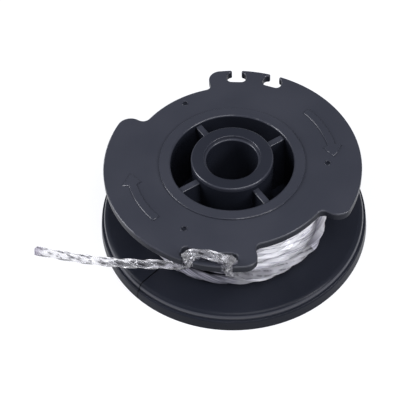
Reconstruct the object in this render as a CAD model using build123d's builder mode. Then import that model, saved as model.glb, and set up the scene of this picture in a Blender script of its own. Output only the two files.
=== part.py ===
from build123d import *
from math import atan2, degrees, hypot, pi, radians, tan
import os

# Trimmer line spool: one moulding, the line wound on its drum, and the line's free tail.
# Millimetres. The origin is the centre of the rim that the spool stands on, and +Z is the spool's axis.
# Angles are degrees, counter-clockwise from +X seen from above.

# Lower flange: a shallow cup, open downwards, with a stepped rim
lower_radius = 30.0
lower_height = 4.2
lip_height = 2.5
lip_ledge = 0.55
lip_draft = 0.3
lip_round = 0.35
shoulder_round = 1.2
skirt_wall = 1.9
web_thickness = 2.0

# Drum, hub tube and the ribs that tie them together
groove_width = 13.6
drum_radius = 15.4
drum_wall = 2.1
collar_height = 0.4
collar_overhang = 0.4
collar_round = 0.2
mouth_round = 0.4
bore_radius = 5.6
bore_round = 0.3
step_width = 0.5
step_depth = 0.7
step_round = 0.2
hub_wall = 3.25
hub_stands_above = 1.65
hub_round = 0.4
hub_lift = 0.5
rib_count = 4
rib_width = 1.5
rib_angle = 33.0
rib_drop = 0.3
rib_round = 0.2

# Upper flange: two recesses, each from its start to its end, and two pairs of T-shaped line notches
upper_radius = 27.8
upper_thickness = 2.0
edge_round = 0.3
recess_depth = 5.2
recess_starts = (101.1, 280.8)
recess_ends = (147.4, 324.4)
tooth_corner = 2.6
tooth_foot = 1.2
lobe_corner = 3.0
lobe_foot = 1.7
notch_angles = (68.3, 86.8, 249.7, 266.8)
notch_depth = 3.6
notch_width = 4.3
notch_round = 1.1
mouth_width = 2.2
hook_thickness = 0.75
hook_round = 0.34

# Gate marks on the upper flange
gate_angles = (-2.2, 120.0, 240.0)
gate_circle = 20.45
gate_radius = 0.55
gate_depth = 0.35

# Cutting line: the winding on the drum, and the route of the free tail from the winding to its cut end
line_diameter = 1.8
winding_depth = 5.45
winding_clearance = 0.1
turn_relief = 0.45
tail_points = [
    (16.2, -15.5, 9.2),
    (12.2, -19.5, 9.3),
    (7.3, -22.1, 9.8),
    (2.3, -24.0, 11.2),
    (-2.0, -25.1, 14.6),
    (-0.8, -27.1, 21.3),
    (-5.9, -25.9, 22.6),
    (-10.2, -25.4, 21.4),
    (-8.2, -23.9, 16.8),
    (-13.6, -24.1, 16.4),
    (-19.5, -23.0, 14.9),
    (-25.6, -21.4, 13.5),
    (-31.6, -19.6, 12.5),
    (-37.2, -17.9, 11.9),
    (-42.1, -16.5, 11.7),
]
bend_share = 0.45

# Heights, radii and angles that follow from the sizes above
full_turn = 360
web_underside = lower_height - web_thickness
upper_underside = lower_height + groove_width
upper_face = upper_underside + upper_thickness
upper_middle = upper_underside + upper_thickness / 2
collar_top = upper_face + collar_height
hub_top = upper_face + hub_stands_above
rib_top = upper_face - rib_drop
lip_top_radius = lower_radius - lip_draft
shoulder_radius = lip_top_radius - lip_ledge
skirt_inside = shoulder_radius - skirt_wall
drum_inside = drum_radius - drum_wall
collar_radius = drum_radius + collar_overhang
hub_radius = bore_radius + hub_wall
step_radius = bore_radius + step_width
step_floor = hub_top - step_depth
recess_radius = upper_radius - recess_depth
next_starts = (*recess_starts[1:], recess_starts[0] + full_turn)
notch_floor = upper_radius - notch_depth
pocket_depth = notch_depth - hook_thickness
hook_inside = notch_floor + pocket_depth
rib_start = hub_radius - hub_wall / 2
rib_length = drum_radius - drum_wall / 2 - rib_start
rib_height = rib_top - lower_height
rib_pitch = full_turn / rib_count
quarter_turn = full_turn / 4


def flange_corners(sketch, along, across, angles):
    """The outline's corners at a place given along and across each of the angles."""
    corners = []
    for angle in angles:
        direction = angle + degrees(atan2(across, along))
        spot = Vector(hypot(along, across), 0).rotate(Axis.Z, direction)
        corners.append(sketch.vertices().sort_by_distance(spot)[0])
    return corners


def section_corner(sketch, radius, height):
    """The corner of a turned section nearest to a radius and a height."""
    return sketch.vertices().sort_by_distance((radius, height))[0]


def bend_radii(points):
    """One radius for each corner of a route, as large as the corner's two runs allow."""
    radii = []
    for before, corner, after in zip(points, points[1:], points[2:]):
        run_in = Vector(corner) - Vector(before)
        run_out = Vector(after) - Vector(corner)
        half_turn = radians(run_in.get_angle(run_out)) / 2
        radii.append(bend_share * min(run_in.length, run_out.length) / tan(half_turn))
    return radii


# The moulding
with BuildPart() as spool_body:
    # Upper flange, cut to its outline and rounded along every edge
    with BuildSketch(Plane.XY.offset(upper_underside)) as flange:
        with BuildLine():
            for start, end, next_start in zip(recess_starts, recess_ends, next_starts):
                recess = CenterArc((0, 0), recess_radius, start, end - start)
                rim = CenterArc((0, 0), upper_radius, end, next_start - end)
                Line(recess @ 1, rim @ 0)
                Line(rim @ 1, (rim @ 1) * (recess_radius / upper_radius))
        make_face()
        for angle in notch_angles:
            with PolarLocations(notch_floor, 1, start_angle=angle):
                RectangleRounded(
                    pocket_depth,
                    notch_width,
                    notch_round,
                    align=(Align.MIN, Align.CENTER),
                    mode=Mode.SUBTRACT,
                )
            with PolarLocations(notch_floor + pocket_depth / 2, 1, start_angle=angle):
                Rectangle(notch_depth, mouth_width, align=(Align.MIN, Align.CENTER), mode=Mode.SUBTRACT)
        fillet(flange_corners(flange, upper_radius, 0, recess_starts), tooth_corner)
        fillet(flange_corners(flange, recess_radius, 0, recess_starts), tooth_foot)
        fillet(flange_corners(flange, upper_radius, 0, recess_ends), lobe_corner)
        fillet(flange_corners(flange, recess_radius, 0, recess_ends), lobe_foot)
        for side in (-mouth_width / 2, mouth_width / 2):
            fillet(flange_corners(flange, upper_radius, side, notch_angles), hook_round)
            fillet(flange_corners(flange, hook_inside, side, notch_angles), hook_round)
    extrude(amount=upper_thickness)
    fillet(spool_body.edges().group_by(Axis.Z)[-1], edge_round)
    fillet(spool_body.edges().group_by(Axis.Z)[0], edge_round)
    with BuildSketch(Plane.XY.offset(upper_underside)):
        Circle(drum_radius - drum_wall / 2)
    extrude(amount=upper_thickness, mode=Mode.SUBTRACT)

    # Lower flange, drum and hub tube, turned about the axis
    with BuildSketch(Plane.XZ) as section:
        with BuildLine():
            Polyline(
                (bore_radius, hub_lift),
                (hub_radius, hub_lift),
                (hub_radius, web_underside),
                (skirt_inside, web_underside),
                (skirt_inside, 0),
                (lower_radius, 0),
                (lip_top_radius, lip_height),
                (shoulder_radius, lip_height),
                (shoulder_radius, lower_height),
                (drum_radius, lower_height),
                (drum_radius, upper_middle),
                (collar_radius, upper_middle),
                (collar_radius, collar_top),
                (drum_inside, collar_top),
                (drum_inside, lower_height),
                (hub_radius, lower_height),
                (hub_radius, hub_top),
                (step_radius, hub_top),
                (step_radius, step_floor),
                (bore_radius, step_floor),
                close=True,
            )
        make_face()
        fillet(section_corner(section, shoulder_radius, lower_height), shoulder_round)
        fillet(section_corner(section, lip_top_radius, lip_height), lip_round)
        fillet(section_corner(section, collar_radius, collar_top), collar_round)
        fillet(section_corner(section, drum_inside, collar_top), mouth_round)
        fillet(section_corner(section, hub_radius, hub_top), hub_round)
        fillet(section_corner(section, step_radius, hub_top), step_round)
        fillet(section_corner(section, bore_radius, step_floor), bore_round)
    revolve(axis=Axis.Z)

    # Ribs between the hub tube and the drum, rounded along their upper edges
    for rib in range(rib_count):
        outward = Vector(1, 0, 0).rotate(Axis.Z, rib_angle + rib * rib_pitch)
        foot = outward * rib_start + Vector(0, 0, lower_height)
        with BuildSketch(Plane(foot, x_dir=outward.rotate(Axis.Z, quarter_turn), z_dir=outward)) as rib_end:
            Rectangle(rib_width, rib_height, align=(Align.CENTER, Align.MIN))
            fillet(rib_end.vertices().group_by(Axis.Y)[-1], rib_round)
        extrude(amount=rib_length)

    # Gate marks, shallow pits left by the moulding
    with BuildSketch(Plane.XY.offset(upper_face)):
        for angle in gate_angles:
            with PolarLocations(gate_circle, 1, start_angle=angle):
                Circle(gate_radius)
    extrude(amount=-gate_depth, mode=Mode.SUBTRACT)
spool_body.part.label = "spool_body"

# The wound line: one ring with a ridge for each turn that shows
winding_foot = lower_height + winding_clearance
winding_width = groove_width - 2 * winding_clearance
winding_radius = drum_radius + winding_depth
turn_count = max(1, int(winding_width / line_diameter))
turn_pitch = winding_width / turn_count
with BuildPart() as line_winding:
    with BuildSketch(Plane.XZ):
        with BuildLine():
            valley = winding_radius - turn_relief
            for turn in range(turn_count):
                low = winding_foot + turn * turn_pitch
                high = low + turn_pitch
                ThreePointArc((valley, low), (winding_radius, (low + high) / 2), (valley, high))
            Polyline(
                (valley, winding_foot),
                (drum_radius + winding_clearance, winding_foot),
                (drum_radius + winding_clearance, winding_foot + winding_width),
                (valley, winding_foot + winding_width),
            )
        make_face()
    revolve(axis=Axis.Z)
line_winding.part.label = "line_winding"

# The free tail: up through one notch, over the middle tooth, down through the next and out
tail_radii = bend_radii(tail_points)
with BuildPart() as line_tail:
    with BuildLine() as tail_route:
        FilletPolyline(*tail_points, radius=tail_radii)
    with BuildSketch(Plane(origin=tail_route.line @ 0, z_dir=tail_route.line % 0)):
        Circle(line_diameter / 2)
    sweep()
line_tail.part.label = "line_tail"

tail_length = sum(edge.length for edge in tail_route.edges())
tail_section = pi * line_diameter**2 / 4
print("tail radii", [round(radius, 1) for radius in tail_radii])
print("tail length", round(tail_length, 2))
print("tail volume over section times length", round(line_tail.part.volume / (tail_section * tail_length), 5))

os.makedirs("parts", exist_ok=True)
export_step(spool_body.part, "parts/spool_body.step")
export_step(line_winding.part, "parts/line_winding.step")
export_step(line_tail.part, "parts/line_tail.step")
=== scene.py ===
"""Trimmer line spool: the moulding's finish, its raised marks, the clear twisted line and a white studio."""
import logging
import math
import random
from dataclasses import dataclass, replace
from enum import Enum
from functools import partial, reduce
from typing import Iterator, Sequence

import bmesh
import bpy
from mathutils import Matrix, Quaternion, Vector


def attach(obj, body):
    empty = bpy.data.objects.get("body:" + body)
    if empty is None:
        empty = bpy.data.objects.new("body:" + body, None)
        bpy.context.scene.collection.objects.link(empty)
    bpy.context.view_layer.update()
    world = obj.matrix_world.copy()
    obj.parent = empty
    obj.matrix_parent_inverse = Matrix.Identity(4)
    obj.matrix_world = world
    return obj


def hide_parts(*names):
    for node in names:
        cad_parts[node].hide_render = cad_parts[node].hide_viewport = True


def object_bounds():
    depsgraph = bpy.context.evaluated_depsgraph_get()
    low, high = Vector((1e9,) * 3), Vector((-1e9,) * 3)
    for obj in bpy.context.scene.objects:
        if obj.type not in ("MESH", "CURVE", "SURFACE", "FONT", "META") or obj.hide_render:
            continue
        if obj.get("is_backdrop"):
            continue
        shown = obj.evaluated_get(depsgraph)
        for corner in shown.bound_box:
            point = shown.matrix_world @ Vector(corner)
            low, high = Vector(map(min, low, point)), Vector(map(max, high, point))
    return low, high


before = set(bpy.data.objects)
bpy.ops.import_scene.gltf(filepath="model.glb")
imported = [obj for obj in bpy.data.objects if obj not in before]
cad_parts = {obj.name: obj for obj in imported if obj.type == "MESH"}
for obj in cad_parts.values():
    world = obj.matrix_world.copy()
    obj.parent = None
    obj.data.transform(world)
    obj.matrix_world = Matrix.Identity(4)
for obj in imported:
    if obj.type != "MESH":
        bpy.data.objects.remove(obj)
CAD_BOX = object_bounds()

LOG = logging.getLogger("spool")

RGB = tuple[float, float, float]
Point = tuple[float, float, float]
Socket = bpy.types.NodeSocket

MM = 0.001
ORIGIN: Point = (0.0, 0.0, 0.0)
UP: Point = (0.0, 0.0, 1.0)

# The middle of a noise texture's range
NOISE_MIDDLE = 0.5

# Sizes that the moulding's finish and its raised marks share
FLANGE_FACE = 19.8 * MM
ARROW_HEIGHT = 0.28 * MM

# The attribute that keeps a point's place on the line as if it lay straight
STRAIGHT = "straight"

# A length that no line reaches, for a line whose cut end isn't seen
BEYOND = 100.0


class Node(str, Enum):
    """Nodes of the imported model."""

    SPOOL = "spool_body"
    WINDING = "line_winding"
    TAIL = "line_tail"


class Slot(str, Enum):
    """Material slots of the record."""

    MOULDING = "moulding"
    LINE = "cutting_line"


class Body(str, Enum):
    """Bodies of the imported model."""

    ROOT = "root"


class NodeSheet:
    """Short ways to add nodes to one node tree and join them."""

    # Numbers of the Mix node's sockets for colours
    MIX_FACTOR, MIX_FIRST, MIX_SECOND = 0, 6, 7
    MIX_RESULT = 2

    def __init__(self, tree: bpy.types.NodeTree) -> None:
        """Take the tree to work on."""
        self.tree = tree

    def feed(self, node: bpy.types.Node, inputs: dict[str | int, object]) -> None:
        """Set a node's inputs, or join sockets to them.

        Args:
            node: the node, which is in the sheet's tree.
            inputs: values or sockets for the node's inputs, by name or number.
        """
        for key, value in inputs.items():
            if isinstance(value, Socket):
                self.tree.links.new(value, node.inputs[key])
            else:
                node.inputs[key].default_value = value

    def add(
        self,
        kind: str,
        inputs: dict[str | int, object] | None = None,
        **settings: object,
    ) -> bpy.types.Node:
        """Add a node.

        Args:
            kind: the node's type, without its ShaderNode prefix.
            inputs: values or sockets for the node's inputs, by name or number.
            settings: the node's own properties.

        Returns:
            The new node.
        """
        node = self.tree.nodes.new("ShaderNode" + kind)
        for name, value in settings.items():
            setattr(node, name, value)
        self.feed(node, inputs or {})
        return node

    def math(self, operation: str, first: object, second: object = 0.0) -> Socket:
        """Add a Math node.

        Args:
            operation: the node's operation.
            first: a value or a socket.
            second: a value or a socket.

        Returns:
            The result's socket.
        """
        return self.add("Math", {0: first, 1: second}, operation=operation).outputs[0]

    def product(self, *values: object) -> Socket:
        """The product of some values and sockets."""
        return reduce(partial(self.math, "MULTIPLY"), values)

    def largest(self, *values: object) -> Socket:
        """The largest of some values and sockets."""
        return reduce(partial(self.math, "MAXIMUM"), values)

    def step(self, value: Socket, low: float, high: float) -> Socket:
        """Add a soft step, 0 at low and 1 at high.

        Args:
            value: the socket that the step reads.
            low: where the step starts, which may be above high.
            high: where it ends.

        Returns:
            The step's socket.
        """
        flipped = low > high
        inputs = {"Value": value, "From Min": min(low, high), "From Max": max(low, high)}
        inputs |= {"To Min": float(flipped), "To Max": float(not flipped)}
        return self.add("MapRange", inputs, interpolation_type="SMOOTHSTEP").outputs["Result"]

    def blend(self, factor: object, first: object, second: object) -> Socket:
        """Add a mix of two colours.

        Args:
            factor: the share of the second colour.
            first: a colour or a socket.
            second: a colour or a socket.

        Returns:
            The mixed colour's socket.
        """
        colours = [c if isinstance(c, Socket) else (*c, 1.0) for c in (first, second)]
        inputs = {self.MIX_FACTOR: factor, self.MIX_FIRST: colours[0], self.MIX_SECOND: colours[1]}
        return self.add("Mix", inputs, data_type="RGBA").outputs[self.MIX_RESULT]


def new_material(name: str) -> tuple[bpy.types.Material, NodeSheet, bpy.types.Node]:
    """Make a material.

    Args:
        name: the material's name.

    Returns:
        The material, a sheet for its nodes, and its shader.
    """
    made = bpy.data.materials.new(name)
    made.use_nodes = True
    return made, NodeSheet(made.node_tree), made.node_tree.nodes["Principled BSDF"]


class MouldingGrain:
    """Node group with the fine grain, slow clouding and dust specks of a moulded face."""

    NAME = "moulding_grain"
    GRAIN_DETAIL = 3.0
    CLOUD_DETAIL = 2.0
    SPECKS_PER_GRAIN = 0.12
    SPECK_CHANCE = (0.94, 0.97)
    SPECK_RADIUS = (0.16, 0.06)

    @classmethod
    def tree(cls) -> bpy.types.NodeTree:
        """The group's tree, made at its first use."""
        return bpy.data.node_groups.get(cls.NAME) or cls._build()

    @classmethod
    def _build(cls) -> bpy.types.NodeTree:
        """Make the group.

        Returns:
            A tree with the inputs Vector, Grain and Cloud, and the outputs Tone, Speck and Height.
        """
        tree = bpy.data.node_groups.new(cls.NAME, "ShaderNodeTree")
        face = tree.interface
        face.new_socket("Vector", in_out="INPUT", socket_type="NodeSocketVector")
        for name in ("Grain", "Cloud"):
            face.new_socket(name, in_out="INPUT", socket_type="NodeSocketFloat")
        for name in ("Tone", "Speck", "Height"):
            face.new_socket(name, in_out="OUTPUT", socket_type="NodeSocketFloat")
        sheet = NodeSheet(tree)
        given = tree.nodes.new("NodeGroupInput").outputs
        place = given["Vector"]
        fine = sheet.add("TexNoise", {"Vector": place, "Scale": given["Grain"], "Detail": cls.GRAIN_DETAIL})
        slow = sheet.add("TexNoise", {"Vector": place, "Scale": given["Cloud"], "Detail": cls.CLOUD_DETAIL})
        cells = sheet.product(given["Grain"], cls.SPECKS_PER_GRAIN)
        dust = sheet.add("TexVoronoi", {"Vector": place, "Scale": cells}).outputs
        rare = sheet.step(dust["Color"], *cls.SPECK_CHANCE)
        near = sheet.step(dust["Distance"], *cls.SPECK_RADIUS)
        result = {"Tone": slow.outputs[0], "Speck": sheet.product(rare, near), "Height": fine.outputs[0]}
        sheet.feed(tree.nodes.new("NodeGroupOutput"), result)
        return tree


@dataclass(frozen=True)
class MouldLevel:
    """A flat ring of the moulding and the edges that drop from it, with its share of the mould's texture and
    of the satin's painted sheen; its edges take a painted highlight colour.
    """

    height: float
    inner: float
    outer: float
    drop: float
    texture: float = 1.0
    tolerance: float = 0.012 * MM

    def ring(self, sheet: NodeSheet, radius: Socket) -> Socket:
        """Add the nodes that find the ring's radii.

        Args:
            sheet: the material's tree.
            radius: the distance from the spool's axis.

        Returns:
            A socket that is 1 between the radii and 0 outside them.
        """
        outside = sheet.step(radius, self.inner - self.tolerance, self.inner)
        inside = sheet.step(radius, self.outer + self.tolerance, self.outer)
        return sheet.product(outside, inside)

    def face(self, sheet: NodeSheet, height: Socket) -> Socket:
        """Add the nodes that find the flat's height.

        Args:
            sheet: the material's tree.
            height: the height above the floor.

        Returns:
            A socket that is 1 on the flat and 0 off it.
        """
        away = sheet.math("ABSOLUTE", sheet.math("SUBTRACT", height, self.height))
        return sheet.step(away, 2 * self.tolerance, self.tolerance)

    def edge(self, sheet: NodeSheet, height: Socket) -> Socket:
        """Add the nodes that find the edges' heights.

        Args:
            sheet: the material's tree.
            height: the height above the floor.

        Returns:
            A socket that is 1 on the edges and 0 off them.
        """
        foot = self.height - self.drop
        above = sheet.step(height, foot - self.tolerance, foot)
        below = sheet.step(height, self.height - self.tolerance, self.height - 2 * self.tolerance)
        return sheet.product(above, below)


@dataclass(frozen=True)
class MouldBand:
    """Walls between two radii and two heights, with their share of the mould's texture and of the satin's
    painted sheen.
    """

    inner: float
    outer: float
    low: float
    high: float
    texture: float
    soft_edge: float = 0.05 * MM

    def mask(self, sheet: NodeSheet, radius: Socket, height: Socket) -> Socket:
        """Add the nodes that find the band.

        Args:
            sheet: the material's tree.
            radius: the distance from the spool's axis.
            height: the height above the floor.

        Returns:
            A socket with the band's share on it and 0 off it.
        """
        outside = sheet.step(radius, self.inner - self.soft_edge, self.inner)
        inside = sheet.step(radius, self.outer + self.soft_edge, self.outer)
        above = sheet.step(height, self.low - self.soft_edge, self.low)
        below = sheet.step(height, self.high + self.soft_edge, self.high)
        return sheet.product(outside, inside, above, below, self.texture)


@dataclass(frozen=True)
class MouldFinish:
    """Where the mould is textured and given a painted sheen, and where its edges get a painted highlight and
    more coat.
    """

    levels: tuple[MouldLevel, ...] = (
        # Upper flange, and the arrows on it
        MouldLevel(height=FLANGE_FACE, inner=15.8 * MM, outer=28.0 * MM, drop=0.30 * MM),
        MouldLevel(height=FLANGE_FACE + ARROW_HEIGHT, inner=19.0 * MM, outer=25.0 * MM, drop=0.27 * MM),
        # Collar of the drum, ribs, and end of the hub tube
        MouldLevel(height=20.20 * MM, inner=13.2 * MM, outer=15.85 * MM, drop=0.36 * MM),
        MouldLevel(height=19.50 * MM, inner=8.86 * MM, outer=13.2 * MM, drop=0.20 * MM),
        MouldLevel(height=21.45 * MM, inner=5.5 * MM, outer=8.90 * MM, drop=1.00 * MM, texture=0.3),
        # Shoulder of the lower flange, whose edge band takes the painted highlight colour
        MouldLevel(height=3.75 * MM, inner=28.2 * MM, outer=29.3 * MM, drop=1.20 * MM, texture=0.0),
    )
    bands: tuple[MouldBand, ...] = (
        # Sides of the upper flange, and the lower flange, lightened by a share of the satin's painted sheen
        MouldBand(inner=15.9 * MM, outer=28.2 * MM, low=17.7 * MM, high=19.5 * MM, texture=0.24),
        MouldBand(inner=15.5 * MM, outer=30.5 * MM, low=-1.0 * MM, high=4.3 * MM, texture=0.10),
    )

    def masks(self, sheet: NodeSheet, place: Socket) -> tuple[Socket, Socket]:
        """Add the nodes that find the textured faces, with their painted sheen, and the edges, with their
        painted highlight.

        Args:
            sheet: the material's tree.
            place: Object coordinates.

        Returns:
            Two sockets, 1 on textured faces and 1 on edges with a painted highlight, and 0 elsewhere.
        """
        x, y, height = sheet.add("SeparateXYZ", {0: place}).outputs
        flat = sheet.add("CombineXYZ", {"X": x, "Y": y}).outputs[0]
        radius = sheet.add("VectorMath", {0: flat}, operation="LENGTH").outputs["Value"]
        faces, edges = [], []
        for level in self.levels:
            ring = level.ring(sheet, radius)
            faces.append(sheet.product(ring, level.texture, level.face(sheet, height)))
            edges.append(sheet.product(ring, level.edge(sheet, height)))
        faces += [band.mask(sheet, radius, height) for band in self.bands]
        return sheet.largest(*faces), sheet.largest(*edges)


@dataclass(frozen=True)
class PartingSeam:
    """The hairline that the mould leaves across the lower flange."""

    angle: float = 225.2
    start_radius: float = 20.5 * MM
    fade_in: float = 2.0 * MM
    top: float = 4.5 * MM
    half_width: float = 0.10 * MM
    soft_edge: float = 0.08 * MM
    shade: RGB = (0.003, 0.003, 0.004)
    relief: float = 3.0

    def mask(self, sheet: NodeSheet, place: Socket) -> Socket:
        """Add the nodes that find the seam.

        Args:
            sheet: the material's tree.
            place: Object coordinates.

        Returns:
            A socket that is 1 on the seam and 0 off it.
        """
        turn = {"Vector": place, "Angle": -math.radians(self.angle)}
        turned = sheet.add("VectorRotate", turn, rotation_type="Z_AXIS").outputs[0]
        outward, across, height = sheet.add("SeparateXYZ", {0: turned}).outputs
        line = sheet.step(sheet.math("ABSOLUTE", across), self.half_width + self.soft_edge, self.half_width)
        begun = sheet.step(outward, self.start_radius, self.start_radius + self.fade_in)
        low = sheet.step(height, self.top + self.soft_edge, self.top)
        return sheet.product(line, begun, low)


@dataclass(frozen=True)
class MouldedPlastic:
    """Black moulded plastic: polished from a smooth mould, and satin where the mould is textured, with a
    painted sheen on satin faces and a painted highlight on edges.
    """

    name: str = "moulded_black"
    finish: MouldFinish = MouldFinish()
    seam: PartingSeam = PartingSeam()

    # Colours, with lighter ones for the clouds on polished and satin faces; the satin colours are lighter
    # still, a painted sheen for the textured faces
    polished: RGB = (0.0130, 0.0148, 0.0215)
    polished_light: RGB = (0.0165, 0.0185, 0.0260)
    satin_painted_sheen: RGB = (0.0380, 0.0408, 0.0525)
    satin_painted_sheen_light: RGB = (0.0450, 0.0476, 0.0600)
    # Painted highlight: a lighter colour laid on the edges
    painted_edge_highlight: RGB = (0.0340, 0.0365, 0.0490)
    dust: RGB = (0.10, 0.10, 0.12)
    clouds_per_metre: float = 70.0
    cloud_from: float = 0.3
    cloud_to: float = 0.7

    # Gloss and grain
    polished_roughness: float = 0.27
    satin_roughness: float = 0.52
    roughness_range: float = 0.10
    specular_level: float = 0.02
    grain_per_metre: float = 5200.0
    grain_height: float = 0.06 * MM
    grain_strength: float = 0.5
    polished_grain: float = 0.08

    # The sheen that a burnished edge has more of than a face
    face_coat: float = 0.15
    edge_coat: float = 1.0
    coat_roughness: float = 0.28
    coat_ior: float = 1.5

    def material(self) -> bpy.types.Material:
        """Make the material.

        Returns:
            A material on Object coordinates.
        """
        made, sheet, shader = new_material(self.name)
        place = sheet.add("TexCoord").outputs["Object"]
        given = {"Vector": place, "Grain": self.grain_per_metre, "Cloud": self.clouds_per_metre}
        grain = sheet.add("Group", given, node_tree=MouldingGrain.tree()).outputs
        textured_painted_sheen, edges = self.finish.masks(sheet, place)
        seam = self.seam.mask(sheet, place)

        tone = sheet.step(grain["Tone"], self.cloud_from, self.cloud_to)
        smooth = sheet.blend(tone, self.polished, self.polished_light)
        satin_painted_colour = sheet.blend(tone, self.satin_painted_sheen, self.satin_painted_sheen_light)
        # painted sheen: textured faces take the lighter satin colour
        colour = sheet.blend(textured_painted_sheen, smooth, satin_painted_colour)
        # painted highlight colour on the edges
        colour = sheet.blend(edges, colour, self.painted_edge_highlight)
        colour = sheet.blend(grain["Speck"], colour, self.dust)
        colour = sheet.blend(seam, colour, self.seam.shade)

        spread = sheet.product(sheet.math("SUBTRACT", grain["Height"], NOISE_MIDDLE), self.roughness_range)
        gain = sheet.product(textured_painted_sheen, self.satin_roughness - self.polished_roughness)
        gloss = sheet.math("ADD", gain, self.polished_roughness)

        height = sheet.product(grain["Height"], sheet.largest(textured_painted_sheen, self.polished_grain))
        height = sheet.math("SUBTRACT", height, sheet.product(seam, self.seam.relief))
        relief = {"Strength": self.grain_strength, "Distance": self.grain_height, "Height": height}

        burnish = sheet.product(edges, self.edge_coat - self.face_coat)
        coat = sheet.math("ADD", burnish, self.face_coat)
        inputs = {
            "Base Color": colour,
            "Roughness": sheet.math("ADD", gloss, spread),
            "Normal": sheet.add("Bump", relief).outputs[0],
            "Coat Weight": sheet.product(coat, sheet.math("SUBTRACT", 1.0, seam)),
            "Coat Roughness": self.coat_roughness,
            "Coat IOR": self.coat_ior,
            "Specular IOR Level": self.specular_level,
        }
        sheet.feed(shader, inputs)
        return made


@dataclass(frozen=True)
class ClearNylon:
    """Clear drawn nylon: bright ridges, painted shade on the flats, drawn streaks, a rubbed start darkened by
    painted shade, a painted shade on the drum's front, and a crushed cut end.
    """

    name: str = "clear_nylon"
    ridge: RGB = (0.97, 0.965, 0.985)
    transmission: float = 0.88
    roughness: float = 0.10
    ior: float = 1.5

    # Painted shade: dark flats between the ridges, standing in for the dark that the clear facets refract,
    # which come and go along the line
    flat: RGB = (0.022, 0.020, 0.030)
    flat_core: float = 0.10 * MM
    flat_edge: float = 0.45 * MM
    painted_flat_shade_share: float = 0.92
    flats_per_metre: float = 550.0
    flat_from: float = 0.36
    flat_to: float = 0.62

    # Fine streaks from drawing the line
    streak: RGB = (0.74, 0.72, 0.80)
    streaks_across: float = 2600.0
    streaks_along: float = 60.0
    streak_detail: float = 3.0
    streak_from: float = 0.66
    streak_to: float = 0.74
    streak_roughness: float = 0.08
    streak_height: float = 0.004 * MM
    streak_strength: float = 0.4

    # The stretch next to where tail and winding meet: rubbed dull, and darkened to a grey by painted shade
    painted_shade: RGB = (0.16, 0.155, 0.19)
    painted_shade_share: float = 0.55
    painted_shade_from: float = 5.0 * MM
    painted_shade_full: float = 13.0 * MM
    rubbed_until: float = 16.0 * MM
    clear_from: float = 26.0 * MM
    rubbed_roughness: float = 0.45

    # Painted shade on the front of the drum, where the winding lies in the upper flange's shadow
    painted_front_shade: RGB = (0.11, 0.11, 0.15)
    painted_front_shade_share: float = 0.0
    painted_front_x: tuple[float, float] = (7.0 * MM, -2.0 * MM)
    painted_front_y: tuple[float, float] = (-12.0 * MM, -18.0 * MM)

    # The cut end
    cut: RGB = (0.80, 0.77, 0.86)
    crushed: RGB = (0.34, 0.31, 0.38)
    cut_from: float = BEYOND
    cut_depth: float = 2.2 * MM
    cut_roughness: float = 0.55
    crush_per_metre: float = 1500.0
    crush_detail: float = 2.0
    crush_from: float = 0.40
    crush_to: float = 0.62

    def material(self) -> bpy.types.Material:
        """Make the material.

        Returns:
            A material on the line's own straightened coordinates, and on Object coordinates for the painted
            shade on the drum's front.
        """
        made, sheet, shader = new_material(self.name)
        straight = sheet.add("Attribute", attribute_name=STRAIGHT).outputs["Vector"]
        x, y, along = sheet.add("SeparateXYZ", {0: straight}).outputs
        noise = self._drawn(sheet, straight)
        streak = sheet.step(noise, self.streak_from, self.streak_to)
        rubbed = sheet.step(along, self.clear_from, self.rubbed_until)
        # painted shade over the rubbed stretch
        painted_shade = sheet.product(rubbed, sheet.step(along, self.painted_shade_from, self.painted_shade_full), self.painted_shade_share)
        cut = sheet.step(along, self.cut_from - self.cut_depth, self.cut_from)

        # painted shade on the flats
        colour = sheet.blend(self._painted_flat_shade(sheet, x, y, along), self.ridge, self.flat)
        colour = sheet.blend(painted_shade, colour, self.painted_shade)
        # painted shade on the front of the drum
        colour = sheet.blend(self._painted_front_shade(sheet), colour, self.painted_front_shade)
        colour = sheet.blend(streak, colour, self.streak)
        colour = sheet.blend(cut, colour, self._ragged(sheet, straight))

        drawn_rough = sheet.math("ADD", sheet.product(streak, self.streak_roughness), self.roughness)
        cut_rough = sheet.product(cut, self.cut_roughness)
        rubbed_rough = sheet.product(rubbed, self.rubbed_roughness)
        relief = {"Strength": self.streak_strength, "Distance": self.streak_height, "Height": noise}
        inputs = {
            "Base Color": colour,
            "Roughness": sheet.largest(drawn_rough, cut_rough, rubbed_rough),
            "Normal": sheet.add("Bump", relief).outputs[0],
            "Transmission Weight": self.transmission,
            "IOR": self.ior,
        }
        sheet.feed(shader, inputs)
        return made

    def _drawn(self, sheet: NodeSheet, straight: Socket) -> Socket:
        """Add the nodes of the drawn streaks.

        Args:
            sheet: the material's tree.
            straight: the place on the straightened line.

        Returns:
            A socket with a noise that is drawn out along the line.
        """
        scale = (self.streaks_across, self.streaks_across, self.streaks_along)
        drawn = sheet.add("Mapping", {"Vector": straight, "Scale": scale}).outputs[0]
        given = {"Vector": drawn, "Scale": 1.0, "Detail": self.streak_detail}
        return sheet.add("TexNoise", given).outputs[0]

    def _painted_flat_shade(self, sheet: NodeSheet, x: Socket, y: Socket, along: Socket) -> Socket:
        """Add the nodes that find the painted shade on the flats.

        Args:
            sheet: the material's tree.
            x: the place across the section.
            y: the place across the section, the other way.
            along: the place along the line.

        Returns:
            A socket with the painted shade's share of the colour.
        """
        sides = [sheet.math("ABSOLUTE", axis) for axis in (x, y)]
        off_flat = sheet.math("ABSOLUTE", sheet.math("SUBTRACT", *sides))
        flat = sheet.step(off_flat, self.flat_edge, self.flat_core)
        given = {"W": along, "Scale": self.flats_per_metre}
        slow = sheet.add("TexNoise", given, noise_dimensions="1D").outputs[0]
        return sheet.product(flat, self.painted_flat_shade_share, sheet.step(slow, self.flat_from, self.flat_to))

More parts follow.
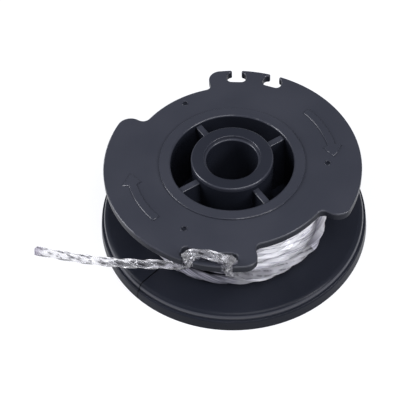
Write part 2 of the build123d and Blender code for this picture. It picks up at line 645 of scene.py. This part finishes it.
    def _painted_front_shade(self, sheet: NodeSheet) -> Socket:
        """Add the nodes that find the front of the drum, for its painted shade.

        Args:
            sheet: the material's tree.

        Returns:
            A socket with the darker front's share of the colour.
        """
        place = sheet.add("TexCoord").outputs["Object"]
        x, y, _ = sheet.add("SeparateXYZ", {0: place}).outputs
        return sheet.product(sheet.step(x, *self.painted_front_x), sheet.step(y, *self.painted_front_y), self.painted_front_shade_share)

    def _ragged(self, sheet: NodeSheet, straight: Socket) -> Socket:
        """Add the nodes that colour the cut end.

        Args:
            sheet: the material's tree.
            straight: the place on the straightened line.

        Returns:
            A socket with the cut's colour, darker where it is crushed.
        """
        given = {"Vector": straight, "Scale": self.crush_per_metre, "Detail": self.crush_detail}
        crush = sheet.add("TexNoise", given).outputs[0]
        return sheet.blend(sheet.step(crush, self.crush_from, self.crush_to), self.cut, self.crushed)


@dataclass(frozen=True)
class WhitePaper:
    """White studio floor that shows white to the camera and keeps a soft shadow."""

    name: str = "white_paper"
    bounced: RGB = (0.25, 0.25, 0.25)
    shaded: RGB = (0.20, 0.20, 0.20)
    glow: RGB = (0.84, 0.845, 0.87)
    # Painted shadow: under the spool the glow drops to black
    painted_shadow: RGB = (0.0, 0.0, 0.0)
    roughness: float = 0.9
    painted_shadow_radius: float = 28.0 * MM
    open_from: float = 30.0 * MM

    def material(self) -> bpy.types.Material:
        """Make the material.

        Returns:
            A matte material with a glow that the camera, glossy and clear faces see, cut to black under the
            spool as a painted shadow.
        """
        made, sheet, shader = new_material(self.name)
        rays = sheet.add("LightPath").outputs
        seen = sheet.math("ADD", rays["Is Camera Ray"], rays["Is Glossy Ray"])
        seen = sheet.math("MINIMUM", sheet.math("ADD", seen, rays["Is Transmission Ray"]), 1.0)
        place = sheet.add("TexCoord").outputs["Object"]
        radius = sheet.add("VectorMath", {0: place}, operation="LENGTH").outputs["Value"]
        # painted shadow under the spool
        clear = sheet.step(radius, self.painted_shadow_radius, self.open_from)
        inputs = {
            "Base Color": sheet.blend(seen, self.bounced, self.shaded),
            "Emission Color": sheet.blend(sheet.product(seen, clear), self.painted_shadow, self.glow),
            "Emission Strength": 1.0,
            "Roughness": self.roughness,
            "Specular IOR Level": 0.0,
        }
        sheet.feed(shader, inputs)
        return made


def polar(radius: float, degrees: float, height: float) -> Vector:
    """A point at a radius, an angle from +X and a height."""
    angle = math.radians(degrees)
    return Vector((radius * math.cos(angle), radius * math.sin(angle), height))


def ease(share: float) -> float:
    """A soft step from 0 to 1."""
    share = min(max(share, 0.0), 1.0)
    return share * share * (3.0 - 2.0 * share)


def finish_piece(
    mesh: bmesh.types.BMesh, name: str, material: bpy.types.Material, slot: Slot
) -> bpy.types.Object:
    """Make a finished bmesh a piece of the object.

    Args:
        mesh: the shape, in its place; it is freed.
        name: the piece's name.
        material: its finish.
        slot: the record's material slot; not used.

    Returns:
        The piece, which rides on the spool.
    """
    bmesh.ops.recalc_face_normals(mesh, faces=mesh.faces[:])
    data = bpy.data.meshes.new(name)
    mesh.to_mesh(data)
    mesh.free()
    data.materials.append(material)
    piece = bpy.data.objects.new(name, data)
    bpy.context.scene.collection.objects.link(piece)
    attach(piece, Body.ROOT.value)
    LOG.info("%s: %d faces", name, len(data.polygons))
    return piece


@dataclass
class Moulding:
    """The spool's moulding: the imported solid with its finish, its direction arrows and its gate beads."""

    # Arrows: a curved shaft from its tail to its neck, and a head with two barbs; angles are degrees
    arrow_sunk: float = 0.05 * MM
    arrow_inner: float = 21.1 * MM
    arrow_outer: float = 22.85 * MM
    arrow_tail: float = 223.0
    arrow_neck: float = 195.5
    arrow_tip: float = 186.6
    tip_radius: float = 21.9 * MM
    barb_inner: float = 20.0 * MM
    barb_outer: float = 24.2 * MM
    barb_angle: float = 194.3
    arrow_steps: int = 18
    arrow_round: float = 0.22 * MM
    round_steps: int = 5
    sharp_angle: float = 57.0
    arrow_turns: tuple[float, ...] = (0.0, 178.0)
    arrow_leads: tuple[float, ...] = (0.0, -2.4)

    # Beads round the gate marks
    gate_circle: float = 20.45 * MM
    gate_angles: tuple[float, ...] = (-2.2, 120.0, 240.0)
    gate_rim: float = 0.66 * MM
    bead_radius: float = 0.09 * MM
    bead_sides: int = 10
    bead_steps: int = 28

    def __post_init__(self) -> None:
        """Make the plastic."""
        self.material = MouldedPlastic().material()

    def dress(self) -> None:
        """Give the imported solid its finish."""
        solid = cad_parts[Node.SPOOL.value]
        for slot in solid.material_slots:
            slot.material = self.material
        LOG.info("%s: finish %s", solid.name, self.material.name)

    def build(self) -> None:
        """Make the raised direction arrows and the beads round the gate marks."""
        for number, (turn, lead) in enumerate(zip(self.arrow_turns, self.arrow_leads), 1):
            finish_piece(self._arrow(turn, lead), f"direction_arrow_{number}", self.material, Slot.MOULDING)
        for number, angle in enumerate(self.gate_angles, 1):
            finish_piece(self._bead(angle), f"gate_bead_{number}", self.material, Slot.MOULDING)

    def _bead(self, angle: float) -> bmesh.types.BMesh:
        """Model the raised bead round one gate mark.

        Args:
            angle: the mark's place on its circle, in degrees.

        Returns:
            A ring that is half sunk in the flange's face.
        """
        mesh = bmesh.new()
        upright = Matrix.Translation((self.gate_rim, 0.0, 0.0)) @ Matrix.Rotation(math.pi / 2, 4, "X")
        bmesh.ops.create_circle(mesh, segments=self.bead_sides, radius=self.bead_radius, matrix=upright)
        bmesh.ops.spin(
            mesh,
            geom=[*mesh.verts, *mesh.edges],
            axis=UP,
            cent=ORIGIN,
            angle=math.tau,
            steps=self.bead_steps,
            use_merge=True,
        )
        bmesh.ops.translate(mesh, verts=mesh.verts, vec=polar(self.gate_circle, angle, FLANGE_FACE))
        for face in mesh.faces:
            face.smooth = True
        return mesh

    def _arrow(self, turn: float, lead: float) -> bmesh.types.BMesh:
        """Model one arrow.

        Args:
            turn: its angle from the first arrow, in degrees.
            lead: how much further its head lies, in degrees.

        Returns:
            A closed plate with rounded upper edges.
        """
        mesh = bmesh.new()
        floor = FLANGE_FACE - self.arrow_sunk
        sides = (self.arrow_inner, self.arrow_outer)
        ends = [mesh.verts.new(polar(radius, self.arrow_tail + turn, floor)) for radius in sides]
        tail = mesh.edges.new(ends)
        spun = bmesh.ops.spin(
            mesh,
            geom=[*ends, tail],
            axis=UP,
            cent=ORIGIN,
            angle=math.radians(self.arrow_neck + lead - self.arrow_tail),
            steps=self.arrow_steps,
        )
        neck = [item for item in spun["geom_last"] if isinstance(item, bmesh.types.BMVert)]
        neck.sort(key=lambda vert: vert.co.xy.length)
        front = turn + lead
        head = [
            polar(self.barb_inner, self.barb_angle + front, floor),
            polar(self.tip_radius, self.arrow_tip + front, floor),
            polar(self.barb_outer, self.barb_angle + front, floor),
        ]
        mesh.faces.new([neck[0], *(mesh.verts.new(place) for place in head), neck[1]])
        grown = bmesh.ops.extrude_face_region(mesh, geom=mesh.faces[:])["geom"]
        lifted = [item for item in grown if isinstance(item, bmesh.types.BMVert)]
        bmesh.ops.translate(mesh, verts=lifted, vec=(0.0, 0.0, ARROW_HEIGHT + self.arrow_sunk))
        bmesh.ops.recalc_face_normals(mesh, faces=mesh.faces[:])
        top = set(lifted)
        sharp = math.radians(self.sharp_angle)
        raised = [edge for edge in mesh.edges if top.issuperset(edge.verts)]
        rounded = bmesh.ops.bevel(
            mesh,
            geom=[edge for edge in raised if edge.calc_face_angle(0.0) > sharp],
            offset=self.arrow_round,
            segments=self.round_steps,
            profile=0.5,
            affect="EDGES",
            material=-1,
        )
        for face in rounded["faces"]:
            face.smooth = True
        return mesh


@dataclass(frozen=True)
class Course:
    """One layer of the winding: its radius, its first and last height, and its sweep in degrees."""

    radius: float
    start: float
    end: float
    sweep: float


@dataclass
class CuttingLine:
    """The clear line: a square section with rounded corners, twisted along its length."""

    # Section
    half_width: float = 0.80 * MM
    sides: int = 4
    corner_cut: float = 0.30 * MM
    corner_steps: int = 4
    twist_length: float = 20.0 * MM
    end_inset: float = 0.15 * MM
    end_bulge: float = 0.10 * MM
    weld: float = 0.001 * MM

    # Tail: the cord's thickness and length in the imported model, and its route here
    diameter: float = 1.8 * MM
    tail_length: float = 0.0757
    tail_route: tuple[Point, ...] = (
        (0.0162, -0.0155, 0.0092),
        (0.0122, -0.0195, 0.0093),
        (0.0073, -0.0221, 0.0098),
        (0.0023, -0.0240, 0.0112),
        (-0.0016, -0.0251, 0.0144),
        (-0.0015, -0.0258, 0.0176),
        (-0.0013, -0.0264, 0.0201),
        (-0.0001, -0.0271, 0.0214),
        (-0.0029, -0.0270, 0.0220),
        (-0.0060, -0.0262, 0.0226),
        (-0.0086, -0.0259, 0.0222),
        (-0.0101, -0.0256, 0.0211),
        (-0.0091, -0.0246, 0.0193),
        (-0.0091, -0.0243, 0.0170),
        (-0.0100, -0.0240, 0.0156),
        (-0.0140, -0.0241, 0.0162),
        (-0.0195, -0.0230, 0.0150),
        (-0.0256, -0.0214, 0.0136),
        (-0.0316, -0.0196, 0.0125),
        (-0.0372, -0.0179, 0.0119),
        (-0.0421, -0.0165, 0.0117),
    )
    tail_steps: int = 20
    clear: ClearNylon = ClearNylon()

    # Winding: its layers from the tail inwards, with a control point at every point_angle degrees
    courses: tuple[Course, ...] = (
        Course(radius=19.95 * MM, start=9.2 * MM, end=5.2 * MM, sweep=855.0),
        Course(radius=18.35 * MM, start=5.2 * MM, end=16.8 * MM, sweep=2520.0),
        Course(radius=19.95 * MM, start=16.8 * MM, end=10.9 * MM, sweep=1275.0),
        Course(radius=16.80 * MM, start=10.9 * MM, end=11.0 * MM, sweep=60.0),
    )
    point_angle: float = 15.0
    winding_steps: int = 4
    lead_in: float = 1.2 * MM
    join_angle: float = 30.0
    change_angle: float = 40.0
    milky: ClearNylon = ClearNylon(
        name="wound_nylon",
        transmission=0.06,
        painted_flat_shade_share=0.0,
        streak=(0.50, 0.49, 0.56),
        streaks_across=3200.0,
        streak_from=0.52,
        streak_to=0.60,
        # painted shade on the winding's first stretch
        painted_shade_share=0.9,
        painted_shade_from=-2.0 * MM,
        painted_shade_full=-1.0 * MM,
        rubbed_until=0.5 * MM,
        clear_from=10.0 * MM,
        # painted shade on the front of the drum
        painted_front_shade_share=0.9,
    )

    # How unevenly the turns lie: a slow waver, and one outer turn that hangs loose about an angle
    waver: float = 0.12 * MM
    waver_pace: float = 0.37
    waver_rates: tuple[float, float] = (2.3, 3.1)
    waver_shift: float = 1.0
    seed: int = 7
    loose_angle: float = 622.0
    loose_spread: float = 64.0
    loose_fade: float = 32.0
    loose_reach: float = 1.0 * MM
    loose_drop: float = 0.7 * MM

    def build(self) -> None:
        rings = spline_points(self.tail_route, self.tail_steps)
        reach = sum((after - before).length for before, after in zip(rings, rings[1:]))
        clear = replace(self.clear, cut_from=reach).material()
        tail = finish_piece(self._sweep(rings), "twisted_tail", clear, Slot.LINE)
        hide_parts(Node.TAIL.value)
        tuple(self.tail_route[0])
        [tuple(ring) for ring in rings]
        turns = spline_points(list(self._winding_route()), self.winding_steps)
        winding = finish_piece(self._sweep(turns), "wound_turns", self.milky.material(), Slot.LINE)
        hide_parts(Node.WINDING.value)

    def _winding_route(self) -> Iterator[Vector]:
        """The winding's control points, from the tail's start back into the drum.

        Yields:
            Points of the stretch that joins the winding, then of each course.
        """
        start = Vector(self.tail_route[0])
        leaving = (Vector(self.tail_route[1]) - start).normalized()
        back = start - leaving * self.lead_in
        yield start
        yield back
        first = self.courses[0]
        angle = math.degrees(math.atan2(back.y, back.x))
        radius = back.xy.length
        count = round(self.join_angle / self.point_angle)
        for number in range(1, count + 1):
            share = ease(number / count)
            reach = radius + (first.radius - radius) * share
            height = back.z + (first.start - back.z) * share
            yield polar(reach, angle + self.join_angle * number / count, height)
        angle += self.join_angle
        radius = first.radius
        chance = random.Random(self.seed)
        for course in self.courses:
            yield from self._turns(course, angle, radius, chance.uniform(0.0, math.tau))
            angle += course.sweep
            radius = course.radius

    def _turns(self, course: Course, angle: float, radius: float, phase: float) -> Iterator[Vector]:
        """The control points of one course.

        Args:
            course: the layer.
            angle: where it starts along the winding, in degrees.
            radius: the radius that it starts from.
            phase: where its waver starts, in radians.

        Yields:
            Points in the order of winding.
        """
        count = round(course.sweep / self.point_angle)
        for number in range(1, count + 1):
            share = number / count
            turned = course.sweep * share
            loose = self._loose(angle + turned)
            reach = radius + (course.radius - radius) * ease(turned / self.change_angle)
            reach += self.loose_reach * loose
            height = course.start + (course.end - course.start) * share
            height -= self.loose_drop * loose
            wave = math.radians(turned) * self.waver_pace + phase
            outward, upward = self.waver_rates
            reach += self.waver * math.sin(outward * wave)
            height += self.waver * math.sin(upward * wave + self.waver_shift)
            yield polar(reach, angle + turned, height)

    def _loose(self, degrees: float) -> float:
        """How loose the outer turn hangs at an angle along the winding, from 0 to 1."""
        return ease((self.loose_spread - abs(degrees - self.loose_angle)) / self.loose_fade)

    def _section(self) -> list[Vector]:
        """The line's section.

        Returns:
            The points of a square with rounded corners, in order, with the first one again at the end.
        """
        mesh = bmesh.new()
        reach = self.half_width / math.cos(math.pi / self.sides)
        corners = bmesh.ops.create_circle(mesh, cap_ends=True, segments=self.sides, radius=reach)["verts"]
        bmesh.ops.bevel(
            mesh,
            geom=corners,
            offset=self.corner_cut,
            segments=self.corner_steps,
            profile=0.5,
            affect="VERTICES",
            material=-1,
        )
        mesh.faces.ensure_lookup_table()
        outline = [vert.co.copy() for vert in mesh.faces[0].verts]
        mesh.free()
        return [*outline, outline[0]]

    def _sweep(self, rings: Sequence[Vector]) -> bmesh.types.BMesh:
        """Carry the line's section along a path, with its twist.

        Args:
            rings: the centres of the section, in order.

        Returns:
            A closed tube whose points keep their place on the straight line in an attribute.
        """
        section = self._section()
        frames = list(self._frames(rings))
        around, runs = len(section) - 1, len(frames) - 1
        half = 0.5
        mesh = bmesh.new()
        straight = mesh.verts.layers.float_vector.new(STRAIGHT)
        bmesh.ops.create_grid(mesh, x_segments=around, y_segments=runs, size=half)
        for vert in mesh.verts:
            corner = section[round((vert.co.x + half) * around)]
            along, place = frames[round((vert.co.y + half) * runs)]
            vert[straight] = (corner.x, corner.y, along)
            vert.co = place @ corner
        bmesh.ops.remove_doubles(mesh, verts=mesh.verts, dist=self.weld)
        rims = [edge for edge in mesh.edges if edge.is_boundary]
        ends = bmesh.ops.holes_fill(mesh, edges=rims, sides=0)["faces"]
        bmesh.ops.recalc_face_normals(mesh, faces=mesh.faces[:])
        bmesh.ops.inset_individual(mesh, faces=ends, thickness=self.end_inset, depth=self.end_bulge)
        for face in mesh.faces:
            face.smooth = face not in ends
        return mesh

    def _frames(self, rings: Sequence[Vector]) -> Iterator[tuple[float, Matrix]]:
        """Places of the section along a path.

        Args:
            rings: the centres of the section, in order.

        Yields:
            The length so far, and a matrix with Z along the path, carried without spin and then twisted.
        """
        along = 0.0
        heading = (rings[1] - rings[0]).normalized()
        side = heading.cross(Vector(UP)).normalized()
        for number, centre in enumerate(rings):
            before = rings[max(number - 1, 0)]
            after = rings[min(number + 1, len(rings) - 1)]
            ahead = (after - before).normalized()
            side.rotate(heading.rotation_difference(ahead))
            side = (side - ahead * side.dot(ahead)).normalized()
            heading = ahead
            along += (centre - before).length
            turned = side.copy()
            turned.rotate(Quaternion(ahead, math.tau * along / self.twist_length))
            axes = Matrix((turned, ahead.cross(turned), ahead)).transposed()
            yield along, Matrix.Translation(centre) @ axes.to_4x4()


def spline_points(route: Sequence[Vector | Point], steps: int) -> list[Vector]:
    """Read points along a smooth spline.

    Args:
        route: the spline's control points.
        steps: points for each run of the route.

    Returns:
        Points along the spline, in order.
    """
    curve = bpy.data.curves.new("route", "CURVE")
    curve.dimensions = "3D"
    curve.resolution_u = steps
    spline = curve.splines.new("NURBS")
    spline.points.add(len(route) - 1)
    for point, place in zip(spline.points, route):
        point.co = (*place, 1.0)
    spline.order_u = 3
    spline.use_endpoint_u = True
    spline.resolution_u = steps
    holder = bpy.data.objects.new("route", curve)
    line = bpy.data.meshes.new_from_object(holder)
    points = [vert.co.copy() for vert in line.vertices]
    bpy.data.objects.remove(holder)
    bpy.data.curves.remove(curve)
    bpy.data.meshes.remove(line)
    return points


@dataclass(frozen=True)
class Softbox:
    """A rectangular studio lamp, aimed at the middle of the spool."""

    name: str
    place: Point
    size: tuple[float, float]
    power: float
    aim: Point = (0.0, 0.0, 0.01)
    colour: RGB = (0.94, 0.945, 1.0)

    def build(self) -> None:
        """Add the lamp to the scene."""
        data = bpy.data.lights.new(self.name, "AREA")
        data.shape = "RECTANGLE"
        data.size, data.size_y = self.size
        data.energy = self.power
        data.color = self.colour
        lamp = bpy.data.objects.new(self.name, data)
        lamp.location = self.place
        lamp.rotation_mode = "QUATERNION"
        lamp.rotation_quaternion = (Vector(self.aim) - Vector(self.place)).to_track_quat("-Z", "Y")
        bpy.context.scene.collection.objects.link(lamp)


@dataclass
class Studio:
    """White floor, soft lamps, even surroundings and the camera."""

    floor_half: float = 3.0
    surround: RGB = (0.90, 0.92, 1.0)
    surround_strength: float = 0.24
    camera_place: Point = (0.0, -0.17511, 0.22387)
    camera_aim: Point = (-0.00760, 0.00579, 0.0)
    camera_roll: float = -3.168
    lens: float = 112.5
    clip_start: float = 0.01
    lamps: tuple[Softbox, ...] = (
        Softbox("overhead", place=(0.12, -0.24, 0.58), size=(0.36, 0.32), power=1.9),
        Softbox("left", place=(-0.46, 0.02, 0.20), size=(0.14, 0.62), power=2.8),
        Softbox("right", place=(0.46, -0.26, 0.34), size=(0.18, 0.22), power=1.9),
        Softbox("front", place=(-0.10, -0.62, 0.14), size=(0.50, 0.14), power=0.08),
    )

    def build(self) -> None:
        """Set the floor, the lamps, the surroundings, the view and the camera."""
        self._floor()
        for lamp in self.lamps:
            lamp.build()
        self._world()
        self._camera()
        bpy.context.scene.view_settings.view_transform = "Standard"

    def _floor(self) -> None:
        """Lay the white floor."""
        mesh = bmesh.new()
        bmesh.ops.create_grid(mesh, x_segments=1, y_segments=1, size=self.floor_half)
        data = bpy.data.meshes.new("studio_floor")
        mesh.to_mesh(data)
        mesh.free()
        data.materials.append(WhitePaper().material())
        floor = bpy.data.objects.new("studio_floor", data)
        bpy.context.scene.collection.objects.link(floor)
        floor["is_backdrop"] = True

    def _world(self) -> None:
        """Light the scene evenly from all round."""
        world = bpy.data.worlds.new("studio")
        world.use_nodes = True
        background = world.node_tree.nodes["Background"].inputs
        background["Color"].default_value = (*self.surround, 1.0)
        background["Strength"].default_value = self.surround_strength
        bpy.context.scene.world = world

    def _camera(self) -> None:
        """Place the camera at the photograph's viewing angle."""
        data = bpy.data.cameras.new("camera")
        data.lens = self.lens
        data.clip_start = self.clip_start
        camera = bpy.data.objects.new("camera", data)
        camera.location = self.camera_place
        look = (Vector(self.camera_aim) - Vector(self.camera_place)).to_track_quat("-Z", "Y")
        camera.rotation_mode = "QUATERNION"
        camera.rotation_quaternion = look @ Quaternion(UP, math.radians(self.camera_roll))
        bpy.context.scene.collection.objects.link(camera)
        bpy.context.scene.camera = camera


def write_sizes() -> None:
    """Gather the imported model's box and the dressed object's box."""
    boxes = {"cad": CAD_BOX, "visual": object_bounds()}
    {name: [list(corner) for corner in box] for name, box in boxes.items()}


def main() -> None:
    """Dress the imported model, add the new pieces and set the studio."""
    logging.basicConfig(level=logging.INFO, format="%(name)s: %(message)s")
    Studio().build()
    moulding = Moulding()
    moulding.dress()
    moulding.build()
    CuttingLine().build()
    write_sizes()


if __name__ == "__main__":
    main()
